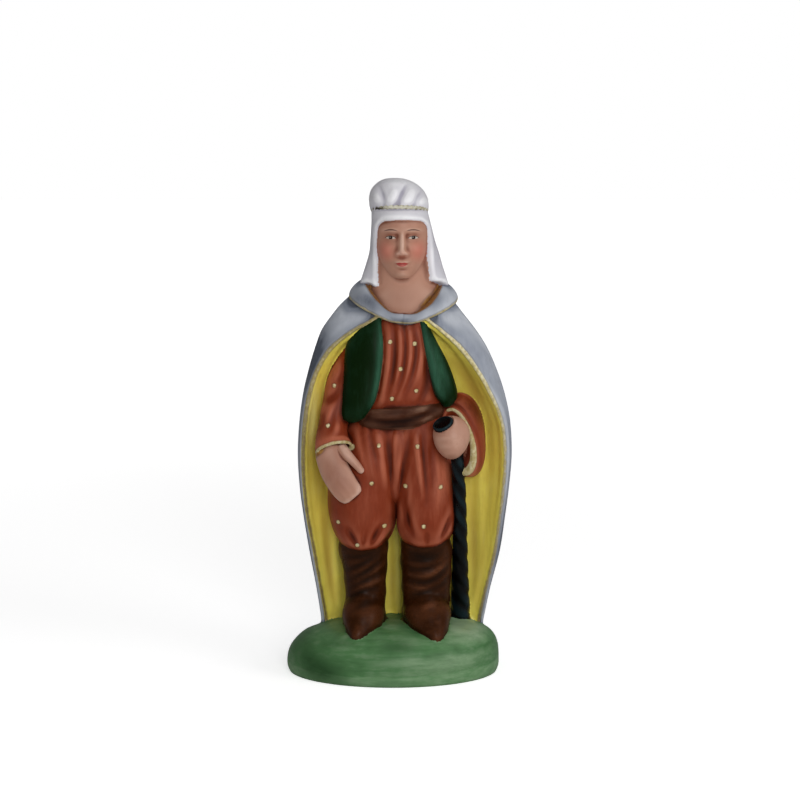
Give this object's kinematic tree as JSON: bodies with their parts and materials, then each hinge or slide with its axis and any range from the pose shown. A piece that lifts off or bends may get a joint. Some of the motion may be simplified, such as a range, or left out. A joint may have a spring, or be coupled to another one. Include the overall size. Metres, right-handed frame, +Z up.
{
  "type": "santon figure",
  "caption": "Painted clay nativity figure of a cloaked man in a turban, one hand on a tall staff, standing on an oval mound.",
  "frame": {"origin": "on the flat underside of the mound, under the middle of the figure's outline", "axes": "+Z up, the figure faces -Y, and its left hand with the staff is at +X"},
  "size_m": [0.0546, 0.036, 0.12],
  "materials": {
    "painted_clay": "fired clay, hand painted in matt and satin colours"
  },
  "bodies": {
    "root": {"santon_figure": "painted_clay"}
  },
  "joints": []
}
